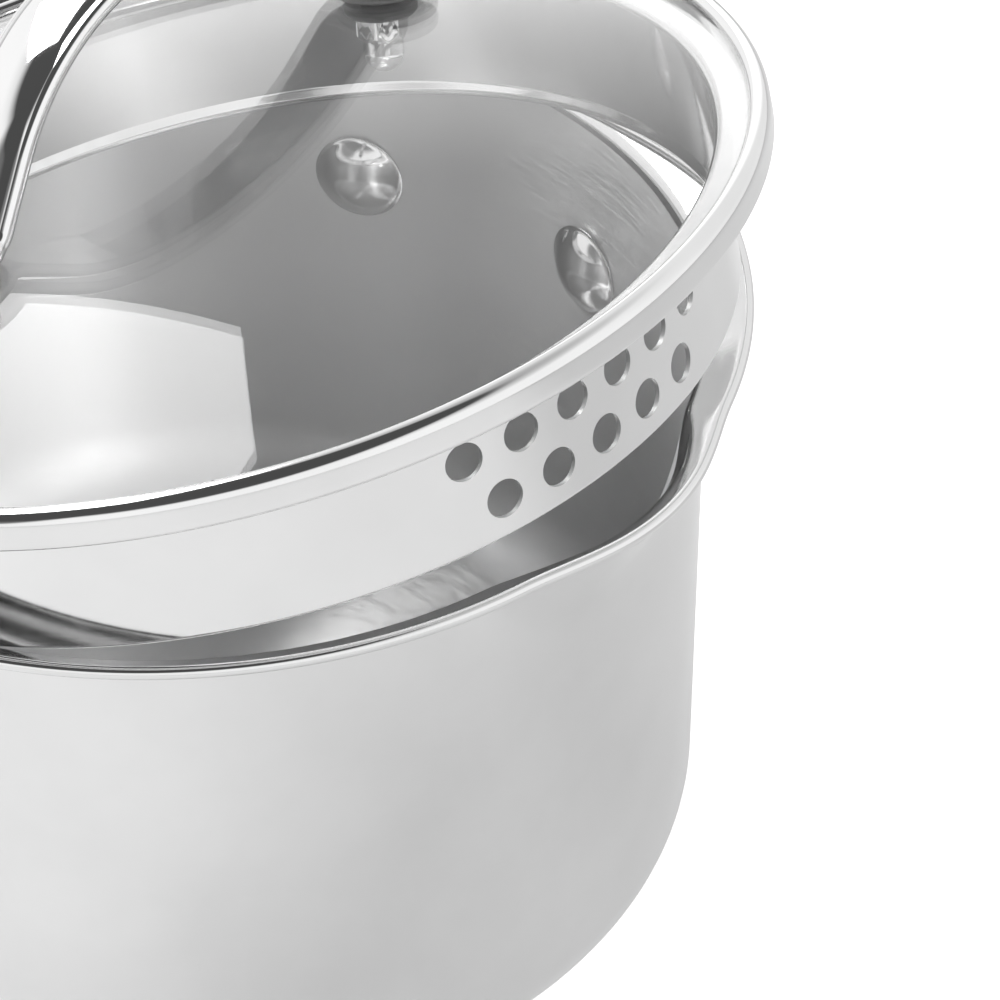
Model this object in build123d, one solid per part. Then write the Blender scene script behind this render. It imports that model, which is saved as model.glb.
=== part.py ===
from build123d import *
import math
import os

# Saucepan with a flared, rolled mouth and two pour spouts, and a glass strainer lid set askew on it.
# Frame: Z up the pan's axis, z = 0 on the resting face, long handle along +X, spouts at -Y and +Y.

# Driving dimensions of the pan, in millimetres and degrees
pan_radius = 80.0
pan_height = 105.4
pan_sheet = 0.8
corner_radius = 12.0
mouth_bend = 3.1
flare_angle = 34.6
flare_length = 5.8
lip_roll = 0.95

# Pour spouts, pressed out of the mouth
spout_reach = 3.0
spout_lip_radius = 39.6
spout_depth = 17.0
spout_flare = 3.3
spout_drop = 0.15
spout_roll = 0.9
spout_bend = 2.0

# Bonded base
base_thickness = 4.5
cap_sheet = 0.6
cap_edge = 1.5

# Long handle and its rivets
rivet_drop = 33.0
rivet_spread = 34.0
rivet_shank = 3.0
rivet_head = 7.75
rivet_dome = 3.2
rivet_tail = 6.0
rivet_tail_dome = 1.4
rivet_clearance = 0.05
saddle_thickness = 3.0
saddle_height = 27.0
saddle_overhang = 9.5
handle_rise = 18.0
handle_reach = 172.0
handle_root_width = 23.0
handle_neck_width = 15.0
handle_grip_width = 23.0
handle_root_depth = 13.0
handle_neck_depth = 9.0
handle_grip_depth = 12.5
handle_end_width = 15.0
handle_end_depth = 7.0
hang_hole_radius = 4.5
hang_hole_inset = 14.0

# Lid's steel band
skirt_clearance = 1.9
bead_inset = 0.8
skirt_height = 22.1
band_sheet = 0.7
hem_height = 2.5
ledge_bend = 0.8
bead_foot_bend = 1.1
bead_top_bend = 2.2
bead_lip = 3.0
lip_stand = 1.15
grip_gap = 0.05
glass_edge_gap = 0.5

# Strainer holes in the band, large at one spout and small at the other
upper_holes = 6
lower_holes = 5
upper_hole_height = 14.2
lower_hole_height = 5.9
hole_pitch = 7.0
large_hole_radius = 2.88
small_hole_radius = 1.75

# Glass
glass_thickness = 4.0
glass_rise = 15.5

# Lid handle and its fixings
foot_radius = 44.0
strap_width = 15.0
strap_thickness = 2.6
strap_edge = 0.9
strap_shoulder = 19.0
finger_gap = 22.6
foot_pad_radius = 9.0
foot_inset = 6.0
knee_bend = 5.0
stud_radius = 2.0
stud_clearance = 0.05
grommet_radius = 8.0
grommet_flange = 1.0
grommet_sleeve = 3.2
washer_radius = 5.6
washer_thickness = 1.6
nut_flats = 7.0
nut_height = 3.4
nut_dome_radius = 3.1
nut_dome_height = 5.0
nut_wall = 1.0

# How the lid lies on the pan: tilted down towards +Y, headed and turned a little, on three resting places
lid_tilt = 13.5
lid_heading = 4.3
lid_turn = -10.7
seat_gap = 0.3

# Sizes that follow from the ones above
flare = math.radians(flare_angle)
inner_radius = pan_radius - pan_sheet
floor_z = base_thickness + pan_sheet
roll_z = pan_height - lip_roll
flare_top_z = roll_z + lip_roll * math.cos(flare)
flare_foot_z = flare_top_z - flare_length * math.sin(flare)
bend_z = flare_foot_z - mouth_bend * math.cos(flare)
bend_radius = inner_radius + mouth_bend
flare_foot_radius = bend_radius - mouth_bend * math.sin(flare)
flare_top_radius = flare_foot_radius + flare_length * math.cos(flare)
roll_radius = flare_top_radius + lip_roll * math.sin(flare)
lip_radius = roll_radius + lip_roll
base_radius = pan_radius - corner_radius
rivet_z = pan_height - rivet_drop
above = 10.0

skirt_radius = inner_radius - skirt_clearance
bead_radius = lip_radius - bead_inset
ledge_top = skirt_height + band_sheet
bead_mouth_radius = bead_radius - bead_lip
glass_seat_z = ledge_top + grip_gap
glass_rim_z = glass_seat_z + glass_thickness
glass_apex_z = glass_rim_z + glass_rise
glass_sphere = (bead_mouth_radius**2 + glass_rise**2) / (2 * glass_rise)
glass_centre_z = glass_apex_z - glass_sphere
glass_edge_radius = bead_radius - band_sheet - glass_edge_gap
bead_top_z = glass_rim_z + lip_stand
foot_lift = grommet_flange + 2 * grip_gap
stud_top = foot_lift + strap_thickness / 2


def glass_top(radius):
    return glass_centre_z + math.sqrt(glass_sphere**2 - radius**2)


def polar(centre, radius, degrees):
    angle = math.radians(degrees)
    return (centre[0] + radius * math.cos(angle), centre[1] + radius * math.sin(angle))


def arc(centre, radius, start, end):
    return CenterArc(centre, radius, start, end - start)


def spin(section):
    return revolve(Plane.XZ * section, Axis.Z)


def section_of(edges):
    return make_face(Wire(edges))


def box_about(x, y, z):
    return Box(2 * x, 2 * y, 2 * z)


# Pan body

def roll_join(centre, roll, sheet):
    # where the underside of the flare runs into the rolled lip
    lift = roll - sheet
    along = math.sqrt(roll**2 - lift**2)
    x = centre[0] - lift * math.sin(flare) - along * math.cos(flare)
    z = centre[1] + lift * math.cos(flare) - along * math.sin(flare)
    return (x, z)


def pan_section():
    roll = (roll_radius, roll_z)
    bend = (bend_radius, bend_z)
    corner = (pan_radius - corner_radius, base_thickness + corner_radius)
    normal = 90 + flare_angle
    join = roll_join(roll, lip_roll, pan_sheet)
    join_angle = math.degrees(math.atan2(join[1] - roll[1], join[0] - roll[0]))
    return section_of([
        Line((0, base_thickness), (corner[0], base_thickness)),
        arc(corner, corner_radius, -90, 0),
        Line((pan_radius, corner[1]), (pan_radius, bend_z)),
        arc(bend, mouth_bend - pan_sheet, 180, normal),
        Line(polar(bend, mouth_bend - pan_sheet, normal), join),
        arc(roll, lip_roll, join_angle % 360, normal + 360),
        Line(polar(roll, lip_roll, normal), polar(bend, mouth_bend, normal)),
        arc(bend, mouth_bend, normal, 180),
        Line((inner_radius, bend_z), (inner_radius, corner[1])),
        arc(corner, corner_radius - pan_sheet, 0, -90),
        Line((corner[0], floor_z), (0, floor_z)),
        Line((0, floor_z), (0, base_thickness)),
    ])


def pan_void_section():
    bend = (bend_radius, bend_z)
    corner = (pan_radius - corner_radius, base_thickness + corner_radius)
    normal = 90 + flare_angle
    top = pan_height + above
    return section_of([
        Line((0, floor_z), (corner[0], floor_z)),
        arc(corner, corner_radius - pan_sheet, -90, 0),
        Line((inner_radius, corner[1]), (inner_radius, bend_z)),
        arc(bend, mouth_bend, 180, normal),
        Line(polar(bend, mouth_bend, normal), (flare_top_radius, flare_top_z)),
        Line((flare_top_radius, flare_top_z), (flare_top_radius, top)),
        Line((flare_top_radius, top), (0, top)),
        Line((0, top), (0, floor_z)),
    ])


# Each spout is a small flared cup about an upright axis of its own, run into the pan's mouth
spout_axis = lip_radius + spout_reach - spout_lip_radius
spout_roll_z = roll_z - spout_drop
spout_top = (
    spout_lip_radius - spout_roll - spout_roll * math.sin(flare),
    spout_roll_z + spout_roll * math.cos(flare),
)
spout_throat = (
    spout_top[0] - spout_flare * math.cos(flare),
    spout_top[1] - spout_flare * math.sin(flare),
)
spout_fade = (inner_radius - spout_axis, pan_height - spout_depth)
spout_lean = math.atan2(spout_throat[0] - spout_fade[0], spout_throat[1] - spout_fade[1])
spout_root = (
    spout_fade[0] - mouth_bend * math.tan(spout_lean),
    spout_fade[1] - mouth_bend,
)


def corner_after(points, index, radius):
    # closed outline with one corner rounded
    face = make_face(Polyline(*points, close=True))
    corner = face.vertices().sort_by_distance((points[index][0], points[index][1], 0))[0]
    return fillet(corner, radius)


def spout_section():
    across = (math.cos(spout_lean), -math.sin(spout_lean))
    down = (math.sin(flare), -math.cos(flare))
    roll = (spout_lip_radius - spout_roll, spout_roll_z)
    join = roll_join(roll, spout_roll, pan_sheet)
    bisector = (across[0] + down[0], across[1] + down[1])
    scale = pan_sheet / (1 + across[0] * down[0] + across[1] * down[1])
    outer_throat = (spout_throat[0] + bisector[0] * scale, spout_throat[1] + bisector[1] * scale)
    outer_root = (spout_root[0] + across[0] * pan_sheet, spout_root[1] + across[1] * pan_sheet)
    outline = [spout_root, spout_throat, spout_top, roll, join, outer_throat, outer_root]
    return corner_after(outline, 1, spout_bend) + Pos(*roll) * Circle(spout_roll)


def spout_void_section():
    top = pan_height + above
    outline = [
        (0, spout_root[1]),
        spout_root,
        spout_throat,
        spout_top,
        (spout_top[0], top),
        (0, top),
    ]
    return corner_after(outline, 2, spout_bend)


def rivet_angles():
    return (-rivet_spread / 2, rivet_spread / 2)


def rivet_place(degrees):
    # local Z points out along the radius at the rivet's height
    return Rot(Z=degrees) * Pos(0, 0, rivet_z) * Rot(Y=90)


def pan_body():
    shell = spin(pan_section())
    void = spin(pan_void_section())
    cup = spin(spout_section())
    cup_void = spin(spout_void_section())
    for side in (-1, 1):
        place = Pos(0, side * spout_axis, 0)
        shell = (shell - place * cup_void) + (place * cup - void)
    for degrees in rivet_angles():
        hole = Cylinder(rivet_shank + rivet_clearance, 2 * above)
        shell -= rivet_place(degrees) * Pos(0, 0, pan_radius) * hole
    return shell


# Bonded base: an aluminium disc in a steel cup

def base_core():
    radius = base_radius - cap_sheet
    disc = Pos(0, 0, cap_sheet) * Cylinder(
        radius, base_thickness - cap_sheet, align=(Align.CENTER, Align.CENTER, Align.MIN)
    )
    return fillet(disc.edges().group_by(Axis.Z)[0], cap_edge - cap_sheet)


def base_cap():
    cup = Cylinder(base_radius, base_thickness, align=(Align.CENTER, Align.CENTER, Align.MIN))
    cup = fillet(cup.edges().group_by(Axis.Z)[0], cap_edge)
    return cup - base_core()


# Long handle

def arm_place():
    return Pos(pan_radius, 0, rivet_z) * Rot(Y=90 - handle_rise)


def oval(width, depth, along):
    return Pos(0, 0, along) * SlotOverall(width, depth, rotation=90)


def saddle():
    half = rivet_spread / 2 + math.degrees(saddle_overhang / pan_radius)
    plate = Plane.XZ * Pos(pan_radius + saddle_thickness / 2, rivet_z) * Rectangle(
        saddle_thickness, saddle_height
    )
    pad = Rot(Z=-half) * revolve(plate, Axis.Z, 2 * half)
    uprights = pad.edges().filter_by(Axis((0, 0, 0), (1, 0, 0)), tolerance=60)
    ends = [edge for edge in uprights if abs(edge.length - saddle_thickness) < saddle_thickness / 4]
    return fillet(ends, saddle_height / 2.2)


def arm():
    half_root = handle_root_width / 2
    sections = [
        oval(handle_root_width, handle_root_depth, 0),
        oval(handle_root_width * 0.86, handle_root_depth * 0.9, half_root),
        oval(handle_neck_width, handle_neck_depth, handle_reach * 0.24),
        oval(handle_grip_width, handle_grip_depth, handle_reach * 0.66),
        oval(handle_grip_width, handle_grip_depth * 0.85, handle_reach * 0.86),
        oval(handle_end_width, handle_end_depth, handle_reach),
    ]
    bar = loft(Sketch() + sections)
    end = bar.faces().sort_by(Axis.Z)[-1]
    bar = fillet(end.edges(), handle_end_depth / 3)
    hole = Pos(0, 0, handle_reach - hang_hole_inset) * Rot(Y=90) * Cylinder(
        hang_hole_radius, 4 * handle_grip_depth
    )
    return bar - hole


def pan_handle():
    inside = Cylinder(pan_radius, 4 * pan_height)
    handle = saddle() + (arm_place() * arm() - inside)
    for degrees in rivet_angles():
        hole = Cylinder(rivet_shank + rivet_clearance, 4 * above)
        handle -= rivet_place(degrees) * Pos(0, 0, pan_radius) * hole
    return handle


def dome(radius, height):
    # cap of a sphere standing on the XY plane
    sphere = (radius**2 + height**2) / (2 * height)
    cap = Pos(0, 0, height - sphere) * Sphere(sphere)
    keep = Pos(0, 0, height) * box_about(sphere, sphere, height)
    return cap & keep


def rivet():
    head_z = math.sqrt(inner_radius**2 - rivet_head**2)
    tail_z = pan_radius + saddle_thickness
    shank = Pos(0, 0, head_z) * Cylinder(
        rivet_shank, tail_z - head_z, align=(Align.CENTER, Align.CENTER, Align.MIN)
    )
    head = Pos(0, 0, head_z) * Rot(X=180) * dome(rivet_head, rivet_dome)
    tail = Pos(0, 0, tail_z) * dome(rivet_tail, rivet_tail_dome)
    return shank + head + tail


def handle_rivets():
    return [rivet_place(degrees) * rivet() for degrees in rivet_angles()]


# Lid, in its own frame: z = 0 at the skirt's lower edge, strap along X, large holes at -Y

def band_section():
    hem = (skirt_radius - band_sheet, band_sheet)
    ledge = (skirt_radius + ledge_bend, skirt_height - ledge_bend)
    foot = (bead_radius - bead_foot_bend, skirt_height + bead_foot_bend)
    top = (bead_radius - bead_top_bend, bead_top_z - bead_top_bend)
    inside = skirt_radius - band_sheet
    hem_inside = skirt_radius - 2 * band_sheet
    lip_low = glass_rim_z + grip_gap
    lip_high = lip_low + band_sheet
    return section_of([
        arc(hem, band_sheet, 180, 360),
        Line((skirt_radius, hem[1]), (skirt_radius, ledge[1])),
        arc(ledge, ledge_bend, 180, 90),
        Line((ledge[0], skirt_height), (foot[0], skirt_height)),
        arc(foot, bead_foot_bend, -90, 0),
        Line((bead_radius, foot[1]), (bead_radius, top[1])),
        arc(top, bead_top_bend, 0, 90),
        Line((top[0], bead_top_z), (bead_mouth_radius, lip_high)),
        Line((bead_mouth_radius, lip_high), (bead_mouth_radius, lip_low)),
        Line((bead_mouth_radius, lip_low), (top[0], bead_top_z - band_sheet)),
        Line((top[0], bead_top_z - band_sheet), (bead_radius - band_sheet, top[1])),
        Line((bead_radius - band_sheet, top[1]), (bead_radius - band_sheet, ledge_top)),
        Line((bead_radius - band_sheet, ledge_top), (ledge[0], ledge_top)),
        arc(ledge, ledge_bend + band_sheet, 90, 180),
        Line((inside, ledge[1]), (inside, hem_height)),
        Line((inside, hem_height), (hem_inside, hem_height)),
        Line((hem_inside, hem_height), (hem_inside, hem[1])),
    ])


def hole_group(radius, middle):
    drills = []
    for count, height in ((upper_holes, upper_hole_height), (lower_holes, lower_hole_height)):
        for index in range(count):
            degrees = middle + (index - (count - 1) / 2) * hole_pitch
            place = Rot(Z=degrees) * Pos(skirt_radius, 0, height) * Rot(Y=90)
            drills.append(place * Cylinder(radius, 4 * bead_lip))
    return drills


def lid_band():
    band = spin(band_section())
    return band - hole_group(large_hole_radius, -90) - hole_group(small_hole_radius, 90)


def fixing_place(side):
    # local Z stands square on the glass at one foot of the strap, with z = 0 on the glass
    slope = math.degrees(math.asin(foot_radius / glass_sphere))
    return Pos(side * foot_radius, 0, glass_top(foot_radius)) * Rot(Y=side * slope)


def fixing_sides():
    return (-1, 1)


def lid_glass():
    centre = (0, glass_centre_z)
    under = glass_sphere - glass_thickness
    edge_top = glass_top(glass_edge_radius)
    seat_radius = math.sqrt(under**2 - (glass_seat_z - glass_centre_z)**2)
    top_angle = math.degrees(math.acos(glass_edge_radius / glass_sphere))
    seat_angle = math.degrees(math.acos(seat_radius / under))
    glass = spin(section_of([
        arc(centre, under, 90, seat_angle),
        Line((seat_radius, glass_seat_z), (glass_edge_radius, glass_seat_z)),
        Line((glass_edge_radius, glass_seat_z), (glass_edge_radius, edge_top)),
        arc(centre, glass_sphere, top_angle, 90),
        Line((0, glass_apex_z), (0, glass_apex_z - glass_thickness)),
    ]))
    for side in fixing_sides():
        drill = Cylinder(grommet_sleeve + stud_clearance, 4 * glass_thickness)
        glass -= fixing_place(side) * drill
    return glass


def strap_outline():
    # side view: one bowed arc, straight legs, and knees that turn the ends out flat along the glass
    slope = math.asin(foot_radius / glass_sphere)
    crown = glass_apex_z + finger_gap
    foot = (
        foot_radius + foot_lift * math.sin(slope),
        glass_top(foot_radius) + foot_lift * math.cos(slope),
    )
    knee = (foot[0] - foot_inset * math.cos(slope), foot[1] + foot_inset * math.sin(slope))
    leg = math.atan2(crown - knee[1], knee[0] - strap_shoulder)
    bow = strap_shoulder / math.tan(leg / 2)
    turn = knee_bend * math.tan((leg - slope) / 2)
    start = (knee[0] + turn * math.cos(slope), knee[1] - turn * math.sin(slope))
    knee_centre = (start[0] + knee_bend * math.sin(slope), start[1] + knee_bend * math.cos(slope))
    bow_centre = (0, crown - bow)
    flat_angle = 270 - math.degrees(slope)
    leg_angle = 270 - math.degrees(leg)
    bow_angle = 90 - math.degrees(leg)
    edges = []
    ends = []
    for lift in (0, strap_thickness):
        end = (foot[0] + lift * math.sin(slope), foot[1] + lift * math.cos(slope))
        knee_radius = knee_bend - lift
        bow_radius = bow + lift
        half = [
            Line(end, polar(knee_centre, knee_radius, flat_angle)),
            arc(knee_centre, knee_radius, flat_angle, leg_angle),
            Line(polar(knee_centre, knee_radius, leg_angle), polar(bow_centre, bow_radius, bow_angle)),
        ]
        edges += half + [mirror(edge, about=Plane.YZ) for edge in half]
        edges.append(arc(bow_centre, bow_radius, bow_angle, 180 - bow_angle))
        ends.append(end)
    toe = Line(ends[0], ends[1])
    edges += [toe, mirror(toe, about=Plane.YZ)]
    return make_face(edges)


def lid_handle():
    strap = extrude(Plane.XZ * strap_outline(), amount=strap_width / 2, both=True)
    flanks = strap.faces().sort_by(Axis.Y)
    strap = fillet(flanks[0].edges() + flanks[-1].edges(), strap_edge)
    disc = Cylinder(foot_pad_radius, strap_thickness, align=(Align.CENTER, Align.CENTER, Align.MIN))
    disc = fillet(disc.edges().group_by(Axis.Z)[-1], strap_edge)
    for side in fixing_sides():
        strap += fixing_place(side) * Pos(0, 0, foot_lift) * disc
    for side in fixing_sides():
        strap -= fixing_place(side) * Cylinder(stud_radius + stud_clearance, 2 * stud_top)
    return strap


def stud_length():
    return glass_thickness + washer_thickness + nut_height


def lid_studs():
    top = stud_top - stud_clearance
    stud = Pos(0, 0, top) * Cylinder(
        stud_radius, top + stud_length(), align=(Align.CENTER, Align.CENTER, Align.MAX)
    )
    return [fixing_place(side) * stud for side in fixing_sides()]


def lid_grommets():
    flange = Pos(0, 0, grip_gap) * Cylinder(
        grommet_radius, grommet_flange, align=(Align.CENTER, Align.CENTER, Align.MIN)
    )
    sleeve = Pos(0, 0, grip_gap) * Cylinder(
        grommet_sleeve, glass_thickness, align=(Align.CENTER, Align.CENTER, Align.MAX)
    )
    grommet = flange + sleeve - Cylinder(stud_radius + stud_clearance, 4 * glass_thickness)
    return [fixing_place(side) * grommet for side in fixing_sides()]


def under_glass():
    # flat washer in the hollow of the dome: its rim meets the glass first
    hollow = washer_radius**2 / (2 * (glass_sphere - glass_thickness))
    return -glass_thickness - hollow - grip_gap


def lid_washers():
    disc = Cylinder(washer_radius, washer_thickness, align=(Align.CENTER, Align.CENTER, Align.MAX))
    hole = Cylinder(stud_radius + stud_clearance, 4 * washer_thickness)
    washer = Pos(0, 0, under_glass()) * (disc - hole)
    return [fixing_place(side) * washer for side in fixing_sides()]


def lid_cap_nuts():
    hexagon = extrude(RegularPolygon(nut_flats / 2, 6, major_radius=False), amount=nut_height)
    crown = Cylinder(nut_dome_radius, nut_height + nut_dome_height - nut_dome_radius,
                     align=(Align.CENTER, Align.CENTER, Align.MIN))
    tip = Pos(0, 0, nut_height + nut_dome_height - nut_dome_radius) * Sphere(nut_dome_radius)
    bore = Cylinder(stud_radius + stud_clearance, nut_height + nut_wall,
                    align=(Align.CENTER, Align.CENTER, Align.MIN))
    nut = hexagon + crown + tip - bore
    hung = Pos(0, 0, under_glass() - washer_thickness - grip_gap) * Rot(X=180) * nut
    return [fixing_place(side) * hung for side in fixing_sides()]


# Where the askew lid comes to rest

def side_of(start, end, point):
    # signed distance from a line of the section, positive on the hollow's side of it
    length = math.dist(start, end)
    along = ((end[0] - start[0]) / length, (end[1] - start[1]) / length)
    offset = (point[0] - start[0], point[1] - start[1])
    run = min(max(offset[0] * along[0] + offset[1] * along[1], 0.0), length)
    gap = math.hypot(offset[0] - run * along[0], offset[1] - run * along[1])
    return math.copysign(gap, along[0] * offset[1] - along[1] * offset[0])


def nearest(gaps):
    return min(gaps, key=abs)


def pan_clear(radius, z):
    # how far a point lies inside the pan's hollow, away from the wall, the flare and the lip
    lip = math.hypot(radius - roll_radius, z - roll_z) - lip_roll
    across = radius - bend_radius
    up = z - bend_z
    if z > flare_top_z:
        return lip
    if up < 0:
        return min(inner_radius - radius, lip)
    if across * math.cos(flare) + up * math.sin(flare) < 0:
        return min(math.hypot(across, up) - mouth_bend, lip)
    return min(up * math.cos(flare) - across * math.sin(flare) - mouth_bend, lip)


def spout_clear(radius, z):
    # the same for one spout, with the radius measured from the spout's own axis
    point = (radius, z)
    lines = [side_of(spout_root, spout_throat, point), side_of(spout_throat, spout_top, point)]
    lip = math.hypot(radius - spout_lip_radius + spout_roll, z - spout_roll_z) - spout_roll
    if z < spout_root[1] or (z > spout_top[1] and radius > spout_top[0]):
        return -math.inf
    if z > spout_top[1]:
        return lip
    return min(nearest(lines), lip)


def ring_gap(ring_radius, ring_z, tube, angles, shift, rise):
    # least gap from one round edge of the tilted lid to the pan's mouth and spouts
    tilt = math.radians(lid_tilt)
    least = math.inf
    for degrees in angles:
        x = ring_radius * math.cos(math.radians(degrees))
        y = ring_radius * math.sin(math.radians(degrees))
        world_y = y * math.cos(tilt) + ring_z * math.sin(tilt) + shift
        world_z = -y * math.sin(tilt) + ring_z * math.cos(tilt) + rise
        radius = math.hypot(x, world_y)
        heading = math.atan2(world_y, x) + math.radians(lid_heading)
        clear = pan_clear(radius, world_z)
        for side in (-1, 1):
            across = radius * math.cos(heading)
            along = radius * math.sin(heading) - side * spout_axis
            clear = max(clear, spout_clear(math.hypot(across, along), world_z))
        least = min(least, clear - tube)
    return least


def lowest(ring, angles, shift):
    # height at which one round edge of the lid, coming down, is the seat gap from the mouth
    high = pan_height + pan_radius * math.sin(math.radians(lid_tilt))
    while ring_gap(*ring, angles, shift, high) > seat_gap and high > pan_height / 2:
        high -= seat_gap
    low = high
    high += seat_gap
    for _ in range(20):
        middle = (low + high) / 2
        if ring_gap(*ring, angles, shift, middle) > seat_gap:
            high = middle
        else:
            low = middle
    return high


def lid_pose():
    hem = (skirt_radius - band_sheet, band_sheet, band_sheet)
    bead = (bead_radius - bead_foot_bend, skirt_height + bead_foot_bend, bead_foot_bend)
    front = range(-210, 31, 2)
    back = range(30, 151, 2)
    near = -pan_radius / 4
    far = 0.0
    for _ in range(16):
        shift = (near + far) / 2
        if lowest(bead, back, shift) > lowest(hem, front, shift):
            far = shift
        else:
            near = shift
    rise = max(lowest(bead, back, shift), lowest(hem, front, shift))
    return Rot(Z=lid_heading) * Pos(0, shift, rise) * Rot(X=-lid_tilt) * Rot(Z=lid_turn)


def write(name, solids):
    group = solids if isinstance(solids, list) else [solids]
    loose = [solid for item in group for solid in item.solids()]
    shape = loose[0] if len(loose) == 1 else Compound(children=loose)
    export_step(shape, f"parts/{name}.step")


def main():
    os.makedirs("parts", exist_ok=True)
    pan_nodes = (pan_body, base_core, base_cap, pan_handle, handle_rivets)
    lid_nodes = (lid_glass, lid_band, lid_handle, lid_studs, lid_grommets, lid_washers, lid_cap_nuts)
    pose = lid_pose()
    print("lid pose", pose)
    for node in pan_nodes:
        write(node.__name__, node())
    for node in lid_nodes:
        made = node()
        group = made if isinstance(made, list) else [made]
        write(node.__name__, [pose * item for item in group])


main()
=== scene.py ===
import math

import bmesh
import bpy
from mathutils import Matrix, Vector


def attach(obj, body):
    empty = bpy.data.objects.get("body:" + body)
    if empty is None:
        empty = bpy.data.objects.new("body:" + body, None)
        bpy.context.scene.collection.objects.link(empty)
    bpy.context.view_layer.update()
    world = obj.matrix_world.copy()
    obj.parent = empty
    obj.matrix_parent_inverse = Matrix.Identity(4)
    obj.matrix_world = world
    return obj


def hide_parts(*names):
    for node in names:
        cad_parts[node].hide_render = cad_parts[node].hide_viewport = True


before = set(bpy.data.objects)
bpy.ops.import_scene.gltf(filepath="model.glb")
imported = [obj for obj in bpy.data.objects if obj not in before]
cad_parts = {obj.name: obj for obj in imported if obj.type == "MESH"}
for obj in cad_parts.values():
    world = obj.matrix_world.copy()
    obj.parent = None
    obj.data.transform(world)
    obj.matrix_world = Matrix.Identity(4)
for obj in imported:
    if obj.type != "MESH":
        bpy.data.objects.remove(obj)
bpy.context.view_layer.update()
MM = 0.001

# Pan sizes in millimetres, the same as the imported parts
pan_radius = 80.0
pan_height = 105.4
pan_sheet = 0.8
corner_radius = 12.0
mouth_bend = 3.1
flare_angle = 34.6
flare_length = 5.8
lip_roll = 0.95
base_thickness = 4.5
cap_sheet = 0.6
cap_edge = 1.5
spout_reach = 3.0
spout_lip_radius = 39.6
spout_depth = 17.0
spout_flare = 3.3

# Long handle and rivets
rivet_drop = 33.0
rivet_spread = 34.0
rivet_shank = 3.0
rivet_head = 7.75
rivet_dome = 3.2
rivet_tail = 6.0
rivet_tail_dome = 1.4
saddle_thickness = 3.0
saddle_height = 27.0
saddle_overhang = 9.5
handle_rise = 18.0
handle_reach = 172.0
hang_hole_radius = 4.5
hang_hole_inset = 14.0

# Lid sizes, in the lid's own frame: z = 0 at the skirt's lower edge
skirt_clearance = 1.9
bead_inset = 0.8
skirt_height = 22.1
band_sheet = 0.7
hem_height = 2.5
ledge_bend = 0.8
bead_foot_bend = 1.1
bead_top_bend = 2.2
bead_lip = 3.0
lip_stand = 1.15
grip_gap = 0.05
glass_edge_gap = 0.5
hole_rows = ((6, 14.2), (5, 5.9))
hole_pitch = 7.0
large_hole_radius = 2.88
small_hole_radius = 1.75
glass_thickness = 4.0
glass_rise = 15.5
foot_radius = 44.0
strap_width = 15.0
strap_thickness = 2.6
strap_edge = 1.1
strap_dome = 3.6
strap_shoulder = 19.0
finger_gap = 22.6
foot_pad_radius = 9.0
foot_inset = 6.0
knee_bend = 5.0
stud_radius = 2.0
grommet_radius = 8.0
grommet_flange = 1.0
brim_inset = 1.2
sleeve_radius = 3.1
washer_radius = 5.6
washer_thickness = 1.6
nut_flats = 7.0
nut_height = 3.4
nut_dome_radius = 3.1
nut_dome_height = 5.0

# How the lid lies on the pan
lid_tilt = 13.5
lid_heading = 4.3
lid_turn = -10.7
lid_shift = -10.1149
lid_lift = 97.8254

# Sizes that follow
flare = math.radians(flare_angle)
flare_normal = 90 + flare_angle
inner_radius = pan_radius - pan_sheet
floor_z = base_thickness + pan_sheet
roll_z = pan_height - lip_roll
flare_top_z = roll_z + lip_roll * math.cos(flare)
bend_z = flare_top_z - flare_length * math.sin(flare) - mouth_bend * math.cos(flare)
bend_radius = inner_radius + mouth_bend
flare_top_radius = bend_radius - mouth_bend * math.sin(flare) + flare_length * math.cos(flare)
roll_radius = flare_top_radius + lip_roll * math.sin(flare)
lip_radius = roll_radius + lip_roll
base_radius = pan_radius - corner_radius
rivet_z = pan_height - rivet_drop
skirt_radius = inner_radius - skirt_clearance
bead_radius = lip_radius - bead_inset
ledge_top = skirt_height + band_sheet
bead_mouth_radius = bead_radius - bead_lip
glass_seat_z = ledge_top + grip_gap
glass_rim_z = glass_seat_z + glass_thickness
glass_apex_z = glass_rim_z + glass_rise
glass_sphere = (bead_mouth_radius**2 + glass_rise**2) / (2 * glass_rise)
glass_centre_z = glass_apex_z - glass_sphere
glass_edge_radius = bead_radius - band_sheet - glass_edge_gap
bead_top_z = glass_rim_z + lip_stand
foot_lift = grommet_flange + 2 * grip_gap

lid_place = (
    Matrix.Rotation(math.radians(lid_heading), 4, "Z")
    @ Matrix.Translation((0, lid_shift, lid_lift))
    @ Matrix.Rotation(math.radians(-lid_tilt), 4, "X")
    @ Matrix.Rotation(math.radians(lid_turn), 4, "Z")
)


# Small geometry helpers, all in millimetres

def polar(centre, radius, degrees):
    angle = math.radians(degrees)
    return (centre[0] + radius * math.cos(angle), centre[1] + radius * math.sin(angle))


def arc(centre, radius, start, end, count):
    return [polar(centre, radius, start + (end - start) * i / (count - 1)) for i in range(count)]


def run(start, end, count):
    return [
        (start[0] + (end[0] - start[0]) * i / (count - 1), start[1] + (end[1] - start[1]) * i / (count - 1))
        for i in range(count)
    ]


def lerp(a, b, t):
    return a + (b - a) * t


def smooth(t):
    t = min(max(t, 0.0), 1.0)
    return t * t * (3 - 2 * t)


def interpolate(stations, t):
    # smooth curve through (position, value) pairs with level ends
    for (t0, v0), (t1, v1) in zip(stations, stations[1:]):
        if t <= t1:
            return lerp(v0, v1, smooth((t - t0) / (t1 - t0)))
    return stations[-1][1]


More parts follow.
